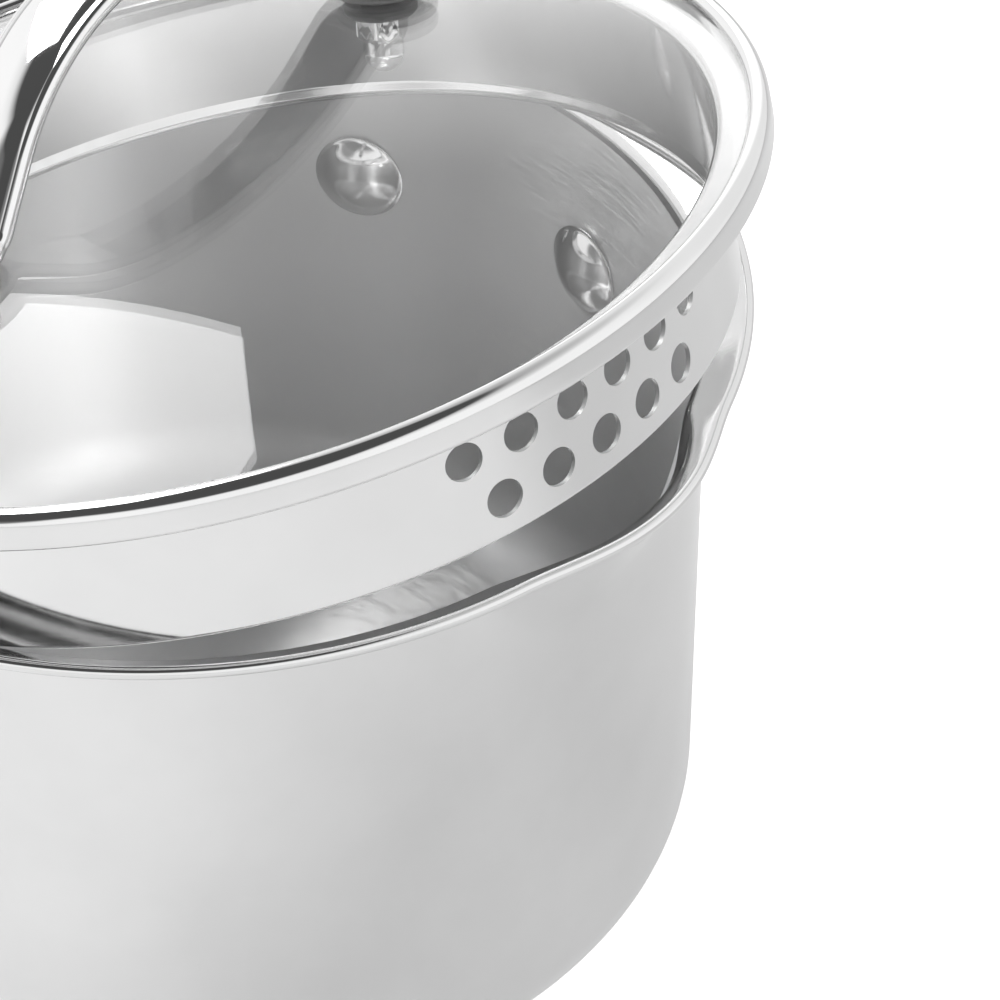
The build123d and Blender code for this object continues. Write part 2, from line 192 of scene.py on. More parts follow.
def grid(rings, close_rows=False, close_columns=True):
    # rings of equal length, joined one to the next, as vertices and quads
    width = len(rings[0])
    verts = [point for ring in rings for point in ring]
    faces = []
    rows = len(rings) if close_rows else len(rings) - 1
    columns = width if close_columns else width - 1
    for i in range(rows):
        for j in range(columns):
            a = i * width + j
            b = i * width + (j + 1) % width
            c = ((i + 1) % len(rings)) * width + (j + 1) % width
            d = ((i + 1) % len(rings)) * width + j
            faces.append((a, b, c, d))
    return verts, faces


def lathe(profile, segments, closed):
    rings = []
    for radius, z in profile:
        ring = []
        for j in range(segments):
            angle = 2 * math.pi * j / segments
            ring.append((radius * math.cos(angle), radius * math.sin(angle), z))
        rings.append(ring)
    return grid(rings, close_rows=closed)


def merged(parts):
    verts = []
    faces = []
    for part_verts, part_faces in parts:
        start = len(verts)
        verts += part_verts
        faces += [tuple(index + start for index in face) for face in part_faces]
    return verts, faces


def placed(part, matrix):
    verts, faces = part
    return [tuple(matrix @ Vector(point)) for point in verts], faces


def mesh_from(name, part, matrix=Matrix.Identity(4)):
    verts, faces = part
    mesh = bpy.data.meshes.new(name)
    mesh.from_pydata([tuple(matrix @ Vector(point) * MM) for point in verts], [], faces)
    work = bmesh.new()
    work.from_mesh(mesh)
    bmesh.ops.remove_doubles(work, verts=work.verts, dist=1e-7)
    bmesh.ops.dissolve_degenerate(work, edges=work.edges, dist=1e-8)
    bmesh.ops.recalc_face_normals(work, faces=work.faces)
    work.to_mesh(mesh)
    work.free()
    return mesh


def piece(name, mesh, body, nodes, materials, sharp=40):
    obj = bpy.data.objects.new(name, mesh)
    bpy.context.scene.collection.objects.link(obj)
    for material in materials:
        mesh.materials.append(material)
    for polygon in mesh.polygons:
        polygon.use_smooth = True
    mesh.set_sharp_from_angle(angle=math.radians(sharp))
    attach(obj, body)
    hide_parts(*nodes)


def applied(mesh, name, modifiers):
    # the mesh after some modifiers, as a new mesh with none left
    obj = bpy.data.objects.new(name, mesh)
    bpy.context.scene.collection.objects.link(obj)
    for kind, settings in modifiers:
        modifier = obj.modifiers.new(kind, kind)
        for key, value in settings.items():
            setattr(modifier, key, value)
    graph = bpy.context.evaluated_depsgraph_get()
    result = bpy.data.meshes.new_from_object(obj.evaluated_get(graph))
    bpy.data.objects.remove(obj)
    return result


def cut(mesh, name, cutter_part, matrix=Matrix.Identity(4)):
    cutter_mesh = mesh_from(name + "_cutter", cutter_part, matrix)
    cutter = bpy.data.objects.new(name + "_cutter", cutter_mesh)
    bpy.context.scene.collection.objects.link(cutter)
    settings = {"operation": "DIFFERENCE", "object": cutter, "solver": "EXACT"}
    result = applied(mesh, name, [("BOOLEAN", settings)])
    bpy.data.objects.remove(cutter)
    return result


def rod(radius, low, high, segments):
    profile = [(0, low), (radius, low), (radius, high), (0, high)]
    return lathe(profile, segments, False)


# Materials

class Shader:
    # a material's nodes, with short calls for the ones used here

    def __init__(self, name):
        self.material = bpy.data.materials.new(name)
        self.material.use_nodes = True
        self.tree = self.material.node_tree
        self.tree.nodes.clear()
        self.output = self.node("ShaderNodeOutputMaterial")

    def node(self, kind, **settings):
        made = self.tree.nodes.new(kind)
        for key, value in settings.items():
            setattr(made, key, value)
        return made

    def link(self, source, target):
        self.tree.links.new(source, target)

    def feed(self, socket, value):
        if isinstance(value, bpy.types.NodeSocket):
            self.link(value, socket)
        else:
            socket.default_value = value

    def math(self, operation, a, b=0.0):
        made = self.node("ShaderNodeMath", operation=operation)
        self.feed(made.inputs[0], a)
        self.feed(made.inputs[1], b)
        return made.outputs[0]

    def position(self):
        return self.node("ShaderNodeNewGeometry").outputs["Position"]

    def around(self, matrix):
        # radius, angle and height of the shaded point about an axis given by a place matrix
        where = self.position()
        back = matrix.inverted()
        rows = []
        for row in range(3):
            dot = self.node("ShaderNodeVectorMath", operation="DOT_PRODUCT")
            self.link(where, dot.inputs[0])
            dot.inputs[1].default_value = (back[row][0], back[row][1], back[row][2])
            rows.append(self.math("ADD", dot.outputs["Value"], back[row][3]))
        squares = [self.math("MULTIPLY", row, row) for row in rows[:2]]
        radius = self.math("SQRT", self.math("ADD", squares[0], squares[1]))
        angle = self.math("ARCTAN2", rows[1], rows[0])
        return radius, angle, rows[2]

    def combine(self, x, y, z):
        made = self.node("ShaderNodeCombineXYZ")
        for socket, value in zip(made.inputs, (x, y, z)):
            self.feed(socket, value)
        return made.outputs[0]

    def noise(self, vector, scale, detail=3.0, roughness=0.55):
        made = self.node("ShaderNodeTexNoise")
        self.link(vector, made.inputs["Vector"])
        made.inputs["Scale"].default_value = scale
        made.inputs["Detail"].default_value = detail
        made.inputs["Roughness"].default_value = roughness
        return made.outputs["Fac"]

    def ramp(self, factor, low, high, bottom, top):
        made = self.node("ShaderNodeMapRange")
        self.link(factor, made.inputs["Value"])
        made.inputs["From Min"].default_value = low
        made.inputs["From Max"].default_value = high
        made.inputs["To Min"].default_value = bottom
        made.inputs["To Max"].default_value = top
        return made.outputs["Result"]

    def mix(self, factor, first, second):
        made = self.node("ShaderNodeMix", data_type="RGBA")
        self.feed(made.inputs["Factor"], factor)
        self.feed(made.inputs["A"], first)
        self.feed(made.inputs["B"], second)
        return made.outputs["Result"]

    def bump(self, height, strength, distance):
        made = self.node("ShaderNodeBump")
        self.link(height, made.inputs["Height"])
        made.inputs["Strength"].default_value = strength
        made.inputs["Distance"].default_value = distance
        return made.outputs["Normal"]

    def principled(self, **values):
        made = self.node("ShaderNodeBsdfPrincipled")
        for key, value in values.items():
            self.feed(made.inputs[key.replace("_", " ")], value)
        return made

    def finish(self, surface):
        self.link(surface, self.output.inputs["Surface"])
        return self.material


def steel(name, tone, rough, lines, line_bump, place, along="z", drawn=0.0):
    # metal with fine lines round an axis and an uneven polish; drawn spreads the shine across the lines
    shader = Shader(name)
    radius, angle, height = shader.around(place)
    cross = height if along == "z" else radius
    along_lines = shader.math("MULTIPLY", angle, 0.004)
    stretched = shader.combine(along_lines, cross, shader.math("MULTIPLY", radius, 0.3))
    fine = shader.noise(stretched, lines, 4.0, 0.65)
    broad = shader.noise(shader.position(), 35.0, 4.0)
    dark = tuple(0.95 * channel for channel in tone) + (1.0,)
    colour = shader.mix(shader.ramp(broad, 0.35, 0.65, 0.0, 1.0), tone + (1.0,), dark)
    polish = shader.ramp(fine, 0.3, 0.7, rough * 0.8, rough * 1.2)
    surface = shader.principled(
        Base_Color=colour,
        Metallic=1.0,
        Roughness=polish,
        Normal=shader.bump(fine, line_bump, 0.00005),
        Anisotropic=drawn,
        Anisotropic_Rotation=0.25,
    )
    if drawn:
        tangent = shader.node("ShaderNodeTangent", direction_type="RADIAL", axis="Z")
        shader.link(tangent.outputs["Tangent"], surface.inputs["Tangent"])
    return shader.finish(surface.outputs["BSDF"])


def rubber(name, tone):
    shader = Shader(name)
    grain = shader.noise(shader.position(), 2500.0, 3.0)
    colour = shader.mix(grain, tuple(0.7 * channel for channel in tone) + (1.0,), tone + (1.0,))
    surface = shader.principled(
        Base_Color=colour,
        Roughness=shader.ramp(grain, 0.3, 0.7, 0.45, 0.65),
        Normal=shader.bump(grain, 0.15, 0.0001),
    )
    return shader.finish(surface.outputs["BSDF"])


def clear_glass(name):
    # clear to shadow rays, so that what lies under the lid is lit
    shader = Shader(name)
    smear = shader.noise(shader.position(), 60.0, 3.0)
    surface = shader.principled(
        Base_Color=(0.985, 0.985, 0.985, 1.0),
        Roughness=shader.ramp(smear, 0.6, 0.9, 0.0, 0.01),
        IOR=1.5,
        Transmission_Weight=1.0,
    )
    path = shader.node("ShaderNodeLightPath")
    through = shader.node("ShaderNodeBsdfTransparent")
    through.inputs["Color"].default_value = (0.94, 0.94, 0.94, 1.0)
    blend = shader.node("ShaderNodeMixShader")
    shader.link(path.outputs["Is Shadow Ray"], blend.inputs["Fac"])
    shader.link(surface.outputs["BSDF"], blend.inputs[1])
    shader.link(through.outputs["BSDF"], blend.inputs[2])
    return shader.finish(blend.outputs["Shader"])


upright = Matrix.Identity(4)
lid_axis = Matrix.Translation(lid_place.translation * MM) @ lid_place.to_3x3().to_4x4()
polished = steel("polished_steel", (0.80, 0.80, 0.80), 0.10, 1500.0, 0.03, upright)
brushed = steel("brushed_inside", (0.82, 0.82, 0.82), 0.36, 2600.0, 0.04, upright, drawn=0.97)
turned = steel("turned_base", (0.72, 0.72, 0.72), 0.28, 1800.0, 0.15, upright, along="r")
band_finish = steel("band_steel", (0.82, 0.82, 0.82), 0.09, 1500.0, 0.03, lid_axis)
# hole walls: rougher punched steel, with a darker tone that is painted shade
punched_edge_painted_shade = steel("punched_edge_painted_shade", (0.42, 0.42, 0.42), 0.55, 900.0, 0.05, upright)
bright = steel("bright_steel", (0.86, 0.86, 0.86), 0.05, 900.0, 0.01, lid_axis)
satin = steel("satin_handle", (0.72, 0.72, 0.72), 0.26, 1800.0, 0.02, upright)
core_metal = steel("core_aluminium", (0.70, 0.70, 0.71), 0.35, 1200.0, 0.15, upright, along="r")
seal = rubber("seal_rubber", (0.30, 0.30, 0.30))
glass = clear_glass("lid_glass")


# Pan body: one turned sheet whose mouth is pushed out into two spouts

spout_axis = lip_radius + spout_reach - spout_lip_radius
spout_roll_radius = spout_lip_radius - lip_roll
spout_top = polar((spout_roll_radius, roll_z), lip_roll, flare_normal)
spout_throat = (spout_top[0] - spout_flare * math.cos(flare), spout_top[1] - spout_flare * math.sin(flare))
spout_fade = (inner_radius - spout_axis, pan_height - spout_depth)
spout_lean = math.atan2(spout_throat[0] - spout_fade[0], spout_throat[1] - spout_fade[1])


def larger(a, b, soft):
    # the larger of two values, with a soft change from one to the other
    near = max(soft - abs(a - b), 0.0) / soft
    return max(a, b) + near * near * soft / 4


def pan_wall(z, sheet):
    # radius of the round mouth at a height; the sheet is 0 for its inner face
    bend = mouth_bend - sheet
    foot = bend_z + bend * math.cos(flare)
    if z <= bend_z:
        return inner_radius + sheet
    if z <= foot:
        return bend_radius - math.sqrt(bend**2 - (z - bend_z) ** 2)
    return bend_radius - bend * math.sin(flare) + (z - foot) / math.tan(flare)


def spout_wall(z, sheet):
    # the same for a spout, about the spout's own axis: a leaning cup with a flared edge
    cup = spout_fade[0] + (z - spout_fade[1]) * math.tan(spout_lean) + sheet / math.cos(spout_lean)
    edge = spout_throat[0] + (z - spout_throat[1]) / math.tan(flare) + sheet / math.sin(flare)
    return larger(cup, edge, 1.2)


def seen_from_axis(reach, side):
    # distance from the pan's axis to a circle about the spout's axis
    inside_root = reach**2 - (spout_axis * math.sin(side)) ** 2
    if reach <= 0 or inside_root <= 0:
        return 0.0
    return spout_axis * math.cos(side) + math.sqrt(inside_root)


def wall_levels(top):
    low = base_thickness + corner_radius
    points = run((0, low), (0, spout_fade[1]), 16)[:-1] + run((0, spout_fade[1]), (0, top), 44)
    return [point[1] for point in points]


def pan_profile():
    # the section as (pan radius, spout radius or none, z), from the middle below to the middle inside
    corner = (pan_radius - corner_radius, base_thickness + corner_radius)
    roll_from = flare_normal + math.degrees(math.acos((lip_roll - pan_sheet) / lip_roll))
    roll_join = roll_z + lip_roll * math.sin(math.radians(roll_from))
    below = run((0.0, base_thickness), (corner[0], base_thickness), 8)
    below += arc(corner, corner_radius, -90, 0, 18)[1:-1]
    within = arc(corner, corner_radius - pan_sheet, 0, -90, 18)[1:-1]
    within += run((corner[0], floor_z), (0.0, floor_z), 40)
    profile = [(radius, None, z) for radius, z in below]
    profile += [(pan_wall(z, pan_sheet), spout_wall(z, pan_sheet), z) for z in wall_levels(roll_join)]
    for across, up in arc((0, 0), lip_roll, roll_from, flare_normal + 360, 24)[1:-1]:
        profile.append((roll_radius + across, spout_roll_radius + across, roll_z + up))
    profile += [(pan_wall(z, 0), spout_wall(z, 0), z) for z in reversed(wall_levels(flare_top_z))]
    return profile + [(radius, None, z) for radius, z in within]


def column_angles():
    angles = []
    degrees = 0.0
    while degrees < 360.0 - 1e-6:
        angles.append(degrees)
        off = abs(math.remainder(degrees - 90, 180))
        degrees += 0.25 if off < 20.0 else 1.0
    return angles


def pan_body_part():
    profile = pan_profile()
    rings = []
    for degrees in column_angles():
        angle = math.radians(degrees)
        side = math.radians(math.remainder(degrees - 90, 180))
        ring = []
        for radius, reach, z in profile:
            if reach is not None:
                soft = lerp(3.0, 2.2, smooth((z - bend_z + 3.0) / 5.0))
                radius = larger(radius, seen_from_axis(reach, side), soft)
            ring.append((radius * math.cos(angle), radius * math.sin(angle), z))
        rings.append(ring)
    return grid(rings, close_rows=True, close_columns=False)


def build_pan_body():
    mesh = mesh_from("pan_shell", pan_body_part())
    piece("pan_shell", mesh, "pan", ["pan_body"], [polished, brushed], sharp=60)
    for polygon in mesh.polygons:
        centre = polygon.center
        inwards = Vector((centre.x, centre.y, 0)).dot(polygon.normal) < 0
        floor = polygon.normal.z > 0.5 and centre.z < 0.02
        if (inwards or floor) and centre.z < bend_z * MM:
            polygon.material_index = 1


# Base

def build_base():
    flat = base_radius - cap_edge
    hollow = 0.25
    profile = [(0.0, hollow)]
    profile += [(flat * t / 24, hollow * (1 - smooth(t / 24))) for t in range(1, 24)]
    profile += arc((flat, cap_edge), cap_edge, -90, 0, 10)
    profile += [(base_radius, base_thickness - 0.15), (base_radius - 0.15, base_thickness)]
    profile += [(base_radius - cap_sheet, base_thickness), (base_radius - cap_sheet, cap_edge)]
    profile += arc((flat, cap_edge), cap_edge - cap_sheet, 0, -90, 8)[1:]
    profile += [(0.0, cap_sheet)]
    mesh = mesh_from("base_cup", lathe(profile, 240, False))
    piece("base_cup", mesh, "pan", ["base_cap"], [turned])


# Long handle: a loft run into a curved saddle, then rounded as a casting is

def arm_place():
    turn = Matrix.Rotation(math.radians(90 - handle_rise), 4, "Y")
    return Matrix.Translation((pan_radius, 0, rivet_z)) @ turn


def arm_part():
    widths = ((0, 23), (0.067, 20), (0.24, 15), (0.66, 23), (0.86, 23), (1, 16))
    depths = ((0, 13), (0.067, 11.7), (0.24, 9), (0.66, 12.5), (0.86, 10.6), (1, 7.4))
    stations = 90
    around = 48
    power = 2.0 / 3.0
    rings = []
    start = -0.045
    for i in range(stations):
        t = lerp(start, 1.0, i / (stations - 1))
        round_end = handle_reach * (1 - t)
        shrink = 1.0
        if round_end < 3.0:
            shrink = math.sqrt(max(0.0, 1 - (1 - round_end / 3.0) ** 2)) * 0.5 + 0.5
        half_width = interpolate(widths, max(t, 0)) / 2 * shrink
        half_depth = interpolate(depths, max(t, 0)) / 2 * shrink
        ring = []
        for j in range(around):
            angle = 2 * math.pi * j / around
            x = half_depth * math.copysign(abs(math.cos(angle)) ** power, math.cos(angle))
            y = half_width * math.copysign(abs(math.sin(angle)) ** power, math.sin(angle))
            ring.append((x, y, handle_reach * t))
        rings.append(ring)
    verts, faces = grid(rings)
    faces.append(tuple(range(around)))
    last = (stations - 1) * around
    faces.append(tuple(range(last + around - 1, last - 1, -1)))
    return placed((verts, faces), arm_place())


def saddle_part():
    # a plate bent round the pan, as sections along its length with rounded outer edges
    half_length = math.radians(rivet_spread / 2) * pan_radius + saddle_overhang
    half_height = saddle_height / 2
    end = half_height * 0.95
    stations = 120
    rings = []
    for i in range(stations):
        x = -half_length * math.cos(math.pi * i / (stations - 1))
        over = max(abs(x) - half_length + end, 0.0)
        half = half_height - end + math.sqrt(max(end**2 - over**2, 0.0))
        edge = min(1.0, half)
        rim = min(half_length - abs(x), edge)
        top = saddle_thickness - edge + math.sqrt(edge**2 - (edge - rim) ** 2)
        section = [(-half, 0.0), (half, 0.0)]
        section += arc((half - edge, top - edge), edge, 0, 90, 7)
        section += arc((edge - half, top - edge), edge, 90, 180, 7)
        angle = x / pan_radius
        ring = []
        for z, depth in section:
            radius = pan_radius + 0.02 + depth
            ring.append((radius * math.cos(angle), radius * math.sin(angle), rivet_z + z))
        rings.append(ring)
    verts, faces = grid(rings)
    width = len(rings[0])
    faces.append(tuple(range(width)))
    last = (stations - 1) * width
    faces.append(tuple(range(last + width - 1, last - 1, -1)))
    return verts, faces


def build_pan_handle():
    mesh = mesh_from("long_handle", arm_part())
    hole_turn = Matrix.Rotation(math.radians(90), 4, "Y")
    hole_place = arm_place() @ Matrix.Translation((0, 0, handle_reach - hang_hole_inset)) @ hole_turn
    mesh = cut(mesh, "long_handle", rod(hang_hole_radius, -20, 20, 48), hole_place)
    inside = rod(pan_radius + 0.02, rivet_z - 40, rivet_z + 40, 360)
    mesh = cut(mesh, "long_handle", inside)
    saddle_mesh = mesh_from("saddle", saddle_part())
    work = bmesh.new()
    work.from_mesh(mesh)
    work.from_mesh(saddle_mesh)
    work.to_mesh(mesh)
    work.free()
    remesh = {"mode": "VOXEL", "voxel_size": 0.0007}
    soften = {"factor": 0.5, "iterations": 6}
    mesh = applied(mesh, "long_handle", [("REMESH", remesh), ("SMOOTH", soften)])
    mesh.materials.clear()
    piece("long_handle", mesh, "pan", ["pan_handle"], [satin], sharp=70)


def rivet_part():
    head_z = math.sqrt(inner_radius**2 - rivet_head**2)
    tail_z = pan_radius + saddle_thickness
    head_sphere = (rivet_head**2 + rivet_dome**2) / (2 * rivet_dome)
    tail_sphere = (rivet_tail**2 + rivet_tail_dome**2) / (2 * rivet_tail_dome)
    profile = []
    for i in range(20):
        radius = rivet_head * i / 20
        bulge = math.sqrt(head_sphere**2 - radius**2)
        profile.append((radius, head_z - rivet_dome + head_sphere - bulge))
    profile += [(rivet_head, head_z - 0.25), (rivet_head, head_z), (rivet_shank, head_z)]
    profile += [(rivet_shank, tail_z), (rivet_tail, tail_z), (rivet_tail, tail_z + 0.2)]
    for i in range(19, -1, -1):
        radius = rivet_tail * i / 20
        bulge = math.sqrt(tail_sphere**2 - radius**2)
        profile.append((radius, tail_z + rivet_tail_dome - tail_sphere + bulge))
    return lathe(profile, 64, False)


def build_rivets():
    parts = []
    for degrees in (-rivet_spread / 2, rivet_spread / 2):
        turn = Matrix.Rotation(math.radians(degrees), 4, "Z")
        place = turn @ Matrix.Translation((0, 0, rivet_z)) @ Matrix.Rotation(math.radians(90), 4, "Y")
        parts.append(placed(rivet_part(), place))
    mesh = mesh_from("rivets", merged(parts))
    piece("rivets", mesh, "pan", ["handle_rivets"], [polished])


# Lid

def band_profile():
    hem = (skirt_radius - band_sheet, band_sheet)
    ledge = (skirt_radius + ledge_bend, skirt_height - ledge_bend)
    foot = (bead_radius - bead_foot_bend, skirt_height + bead_foot_bend)
    top = (bead_radius - bead_top_bend, bead_top_z - bead_top_bend)
    inside = skirt_radius - band_sheet
    hem_inside = skirt_radius - 2 * band_sheet
    lip_low = glass_rim_z + grip_gap
    lip_high = lip_low + band_sheet
    profile = arc(hem, band_sheet, 180, 360, 14)
    profile += run((skirt_radius, hem[1]), (skirt_radius, ledge[1]), 9)[1:]
    profile += arc(ledge, ledge_bend, 180, 90, 8)[1:]
    profile += run((ledge[0], skirt_height), (foot[0], skirt_height), 5)[1:]
    profile += arc(foot, bead_foot_bend, -90, 0, 9)[1:]
    profile += run((bead_radius, foot[1]), (bead_radius, top[1]), 4)[1:]
    profile += arc(top, bead_top_bend, 0, 90, 14)[1:]
    profile += [(bead_mouth_radius + 0.25, lip_high + 0.1), (bead_mouth_radius, lip_high - 0.15)]
    profile += [(bead_mouth_radius, lip_low)]
    profile += [(top[0], bead_top_z - band_sheet)]
    profile += arc(top, bead_top_bend - band_sheet, 90, 0, 8)[1:]
    profile += arc(foot, bead_foot_bend - band_sheet, 0, -90, 5)
    profile += run((foot[0], ledge_top), (ledge[0], ledge_top), 4)[1:]
    profile += arc(ledge, ledge_bend + band_sheet, 90, 180, 9)[1:]
    profile += run((inside, ledge[1]), (inside, hem_height + 0.2), 9)[1:]
    profile += run((inside - 0.05, hem_height), (hem_inside, band_sheet + 0.25), 5)
    return profile


def hole_spots():
    spots = []
    for radius, middle in ((large_hole_radius, -90), (small_hole_radius, 90)):
        for count, height in hole_rows:
            for index in range(count):
                spots.append((radius, middle + (index - (count - 1) / 2) * hole_pitch, height))
    return spots


def hole_cutters():
    parts = []
    for radius, degrees, height in hole_spots():
        turn = Matrix.Rotation(math.radians(degrees), 4, "Z")
        place = turn @ Matrix.Translation((skirt_radius, 0, height))
        place = place @ Matrix.Rotation(math.radians(90), 4, "Y")
        parts.append(placed(rod(radius, -4, 4, 72), place))
    return merged(parts)


def hole_wall_normal(point):
    # towards the axis of the hole whose wall the point lies on, or nothing
    for radius, degrees, height in hole_spots():
        around = math.radians(degrees)
        if point.x * math.cos(around) + point.y * math.sin(around) < 0:
            continue
        across = Vector((-math.sin(around), math.cos(around), 0))
        away = across * point.dot(across) + Vector((0, 0, point.z - height))
        if abs(away.length - radius) < 0.2:
            return -away.normalized()
    return None


def round_normals(mesh, matrix):
    # exact normals on the skirt and in its holes, so that the cuts leave no ripple in the polish
    back = matrix.inverted()
    turn = matrix.to_3x3()
    normals = [corner.vector.copy() for corner in mesh.corner_normals]
    for polygon in mesh.polygons:
        local = back @ (polygon.center / MM)
        facing = back.to_3x3() @ polygon.normal
        flat = Vector((local.x, local.y, 0)).normalized()
        straight = band_sheet < local.z < skirt_height - ledge_bend
        outward = facing.dot(flat)
        in_hole = abs(outward) <= 0.3
        if not straight or (not in_hole and abs(outward) < 0.97):
            continue
        for loop in polygon.loop_indices:
            point = back @ (mesh.vertices[mesh.loops[loop].vertex_index].co / MM)
            if in_hole:
                way = hole_wall_normal(point)
                # hole walls take the second material, whose dark tone is painted shade
                polygon.material_index = 1 if way else 0
            else:
                way = math.copysign(1.0, outward) * Vector((point.x, point.y, 0)).normalized()
            if way:
                normals[loop] = turn @ way
    mesh.normals_split_custom_set(normals)


def build_band():
    mesh = mesh_from("strainer_band", lathe(band_profile(), 480, True), lid_place)
    mesh = cut(mesh, "strainer_band", hole_cutters(), lid_place)
    mesh.materials.clear()
    finishes = [band_finish, punched_edge_painted_shade]
    piece("strainer_band", mesh, "lid", ["lid_band"], finishes, sharp=38)
    round_normals(mesh, lid_place)


def glass_top(radius):
    return glass_centre_z + math.sqrt(glass_sphere**2 - radius**2)


def glass_under(radius):
    return glass_centre_z + math.sqrt((glass_sphere - glass_thickness) ** 2 - radius**2)


def build_glass():
    seat = math.sqrt((glass_sphere - glass_thickness) ** 2 - (glass_seat_z - glass_centre_z) ** 2)
    edge = glass_edge_radius
    edge_top = glass_top(edge)
    profile = [(seat * i / 48, glass_under(seat * i / 48)) for i in range(49)]
    profile += [(edge - 0.5, glass_seat_z), (edge - 0.15, glass_seat_z + 0.12), (edge, glass_seat_z + 0.5)]
    profile += [(edge, edge_top - 0.6), (edge - 0.15, edge_top - 0.2)]
    profile += [((edge - 0.5) * i / 48, glass_top((edge - 0.5) * i / 48)) for i in range(48, -1, -1)]
    mesh = mesh_from("glass_dome", lathe(profile, 288, False), lid_place)
    piece("glass_dome", mesh, "lid", ["lid_glass"], [glass], sharp=30)


def fixing_place(side):
    slope = math.asin(foot_radius / glass_sphere)
    stand = Matrix.Translation((side * foot_radius, 0, glass_top(foot_radius)))
    return lid_place @ stand @ Matrix.Rotation(side * slope, 4, "Y")


def strap_path():
    # stations along the strap's middle, as (x, z, direction, half width, half thickness)
    slope = math.asin(foot_radius / glass_sphere)
    crown = glass_apex_z + finger_gap
    half = strap_thickness / 2
    foot = (
        foot_radius + foot_lift * math.sin(slope),
        glass_top(foot_radius) + foot_lift * math.cos(slope),
    )
    knee = (foot[0] - foot_inset * math.cos(slope), foot[1] + foot_inset * math.sin(slope))
    leg = math.atan2(crown - knee[1], knee[0] - strap_shoulder)
    bow = strap_shoulder / math.tan(leg / 2)
    turn = knee_bend * math.tan((leg - slope) / 2)
    start = (knee[0] + turn * math.cos(slope), knee[1] - turn * math.sin(slope))
    knee_centre = (start[0] + knee_bend * math.sin(slope), start[1] + knee_bend * math.cos(slope))
    bow_centre = (0, crown - bow)
    flat_degrees = 270 - math.degrees(slope)
    leg_degrees = 270 - math.degrees(leg)
    bow_degrees = 90 - math.degrees(leg)
    middle = (foot[0] + half * math.sin(slope), foot[1] + half * math.cos(slope))
    stations = []

    def add_flat(outward, width, thick):
        x = middle[0] + outward * math.cos(slope)
        z = middle[1] - outward * math.sin(slope)
        stations.append((x, z, -slope, width, thick))

    for i in range(28):
        reach = foot_pad_radius * math.cos(math.pi / 2 * i / 28)
        if i == 0:
            reach = foot_pad_radius - 0.01
        width = math.sqrt(foot_pad_radius**2 - reach**2)
        rim = foot_pad_radius - reach
        thick = half
        if rim < strap_edge:
            thick = half - strap_edge + math.sqrt(strap_edge**2 - (strap_edge - rim) ** 2)
        add_flat(reach, width, thick)
    flat_end = polar(knee_centre, knee_bend - half, flat_degrees)
    flat_run = math.dist(middle, flat_end)
    for i in range(10):
        back = flat_run * i / 10
        width = max(strap_width / 2, math.sqrt(max(foot_pad_radius**2 - back**2, 0.0)))
        add_flat(-back, width, half)
    knee_points = arc(knee_centre, knee_bend - half, flat_degrees, leg_degrees, 14)
    for i, point in enumerate(knee_points):
        direction = -lerp(slope, leg, i / 13)
        back = flat_run + (knee_bend - half) * (leg - slope) * i / 13
        width = max(strap_width / 2, math.sqrt(max(foot_pad_radius**2 - back**2, 0.0)))
        stations.append((point[0], point[1], direction, width, half))
    leg_end = polar(bow_centre, bow + half, bow_degrees)
    for point in run(knee_points[-1], leg_end, 14)[1:]:
        stations.append((point[0], point[1], -leg, strap_width / 2, half))
    for i, point in enumerate(arc(bow_centre, bow + half, bow_degrees, 90, 40)[1:]):
        stations.append((point[0], point[1], -lerp(leg, 0, (i + 1) / 39), strap_width / 2, half))
    mirrored = [(-x, z, -way, width, thick) for x, z, way, width, thick in reversed(stations[:-1])]
    return stations + mirrored


def strap_section(half_width, half_thick):
    # rounded edges and a domed upper face
    edge = min(strap_edge, half_width, half_thick)
    flat = half_width - edge
    wider = max(half_width - strap_width / 2, 0.0) / (foot_pad_radius - strap_width / 2)
    dome = strap_dome * flat / strap_width * (1 - 0.8 * wider)
    points = []
    for sy, sz, start in ((1, 1, 0), (-1, 1, 90), (-1, -1, 180), (1, -1, 270)):
        centre = (sy * flat, sz * (half_thick - edge))
        points += arc(centre, edge, start, start + 90, 8)
        if start == 0:
            for i in range(1, 24):
                share = 1 - 2 * i / 24
                points.append((flat * share, half_thick + dome * (1 - share**2)))
    return points


def build_strap():
    rings = []
    for x, z, way, half_width, half_thick in strap_path():
        normal = (-math.sin(way), math.cos(way))
        ring = []
        for y, lift in strap_section(half_width, half_thick):
            ring.append((x + normal[0] * lift, y, z + normal[1] * lift))
        rings.append(ring)
    verts, faces = grid(rings)
    width = len(rings[0])
    faces.append(tuple(range(width)))
    last = (len(rings) - 1) * width
    faces.append(tuple(range(last + width - 1, last - 1, -1)))
    mesh = mesh_from("lid_strap", (verts, faces), lid_place)
    piece("lid_strap", mesh, "lid", ["lid_handle"], [bright], sharp=50)


def nut_part():
    # hexagon with turned corners, drawn in to a round crown; z runs down from the washer
    half = nut_flats / 2
    corner = half / math.cos(math.pi / 6)
    around = 96
    total = nut_height + nut_dome_height
    levels = [(0.0, half - 0.4), (0.0, half + 0.1), (0.25, corner + 0.05)]
    levels += [(nut_height - 0.6, corner + 0.05), (nut_height, half - 0.1)]
    levels += [(nut_height + 0.15, nut_dome_radius), (total - nut_dome_radius, nut_dome_radius)]
    for i in range(1, 12):
        angle = math.pi / 2 * i / 12
        crown = total - nut_dome_radius * (1 - math.sin(angle))
        levels.append((crown, nut_dome_radius * math.cos(angle)))
    levels.append((total, 0.0))
    rings = []
    for z, limit in levels:
        ring = []
        for j in range(around):
            angle = 2 * math.pi * j / around
            off = (angle + math.pi / 6) % (math.pi / 3) - math.pi / 6
            radius = min(half / math.cos(off), limit)
            ring.append((radius * math.cos(angle), radius * math.sin(angle), -z))
        rings.append(ring)
    verts, faces = grid(rings)
    faces.append(tuple(range(around)))
    return verts, faces


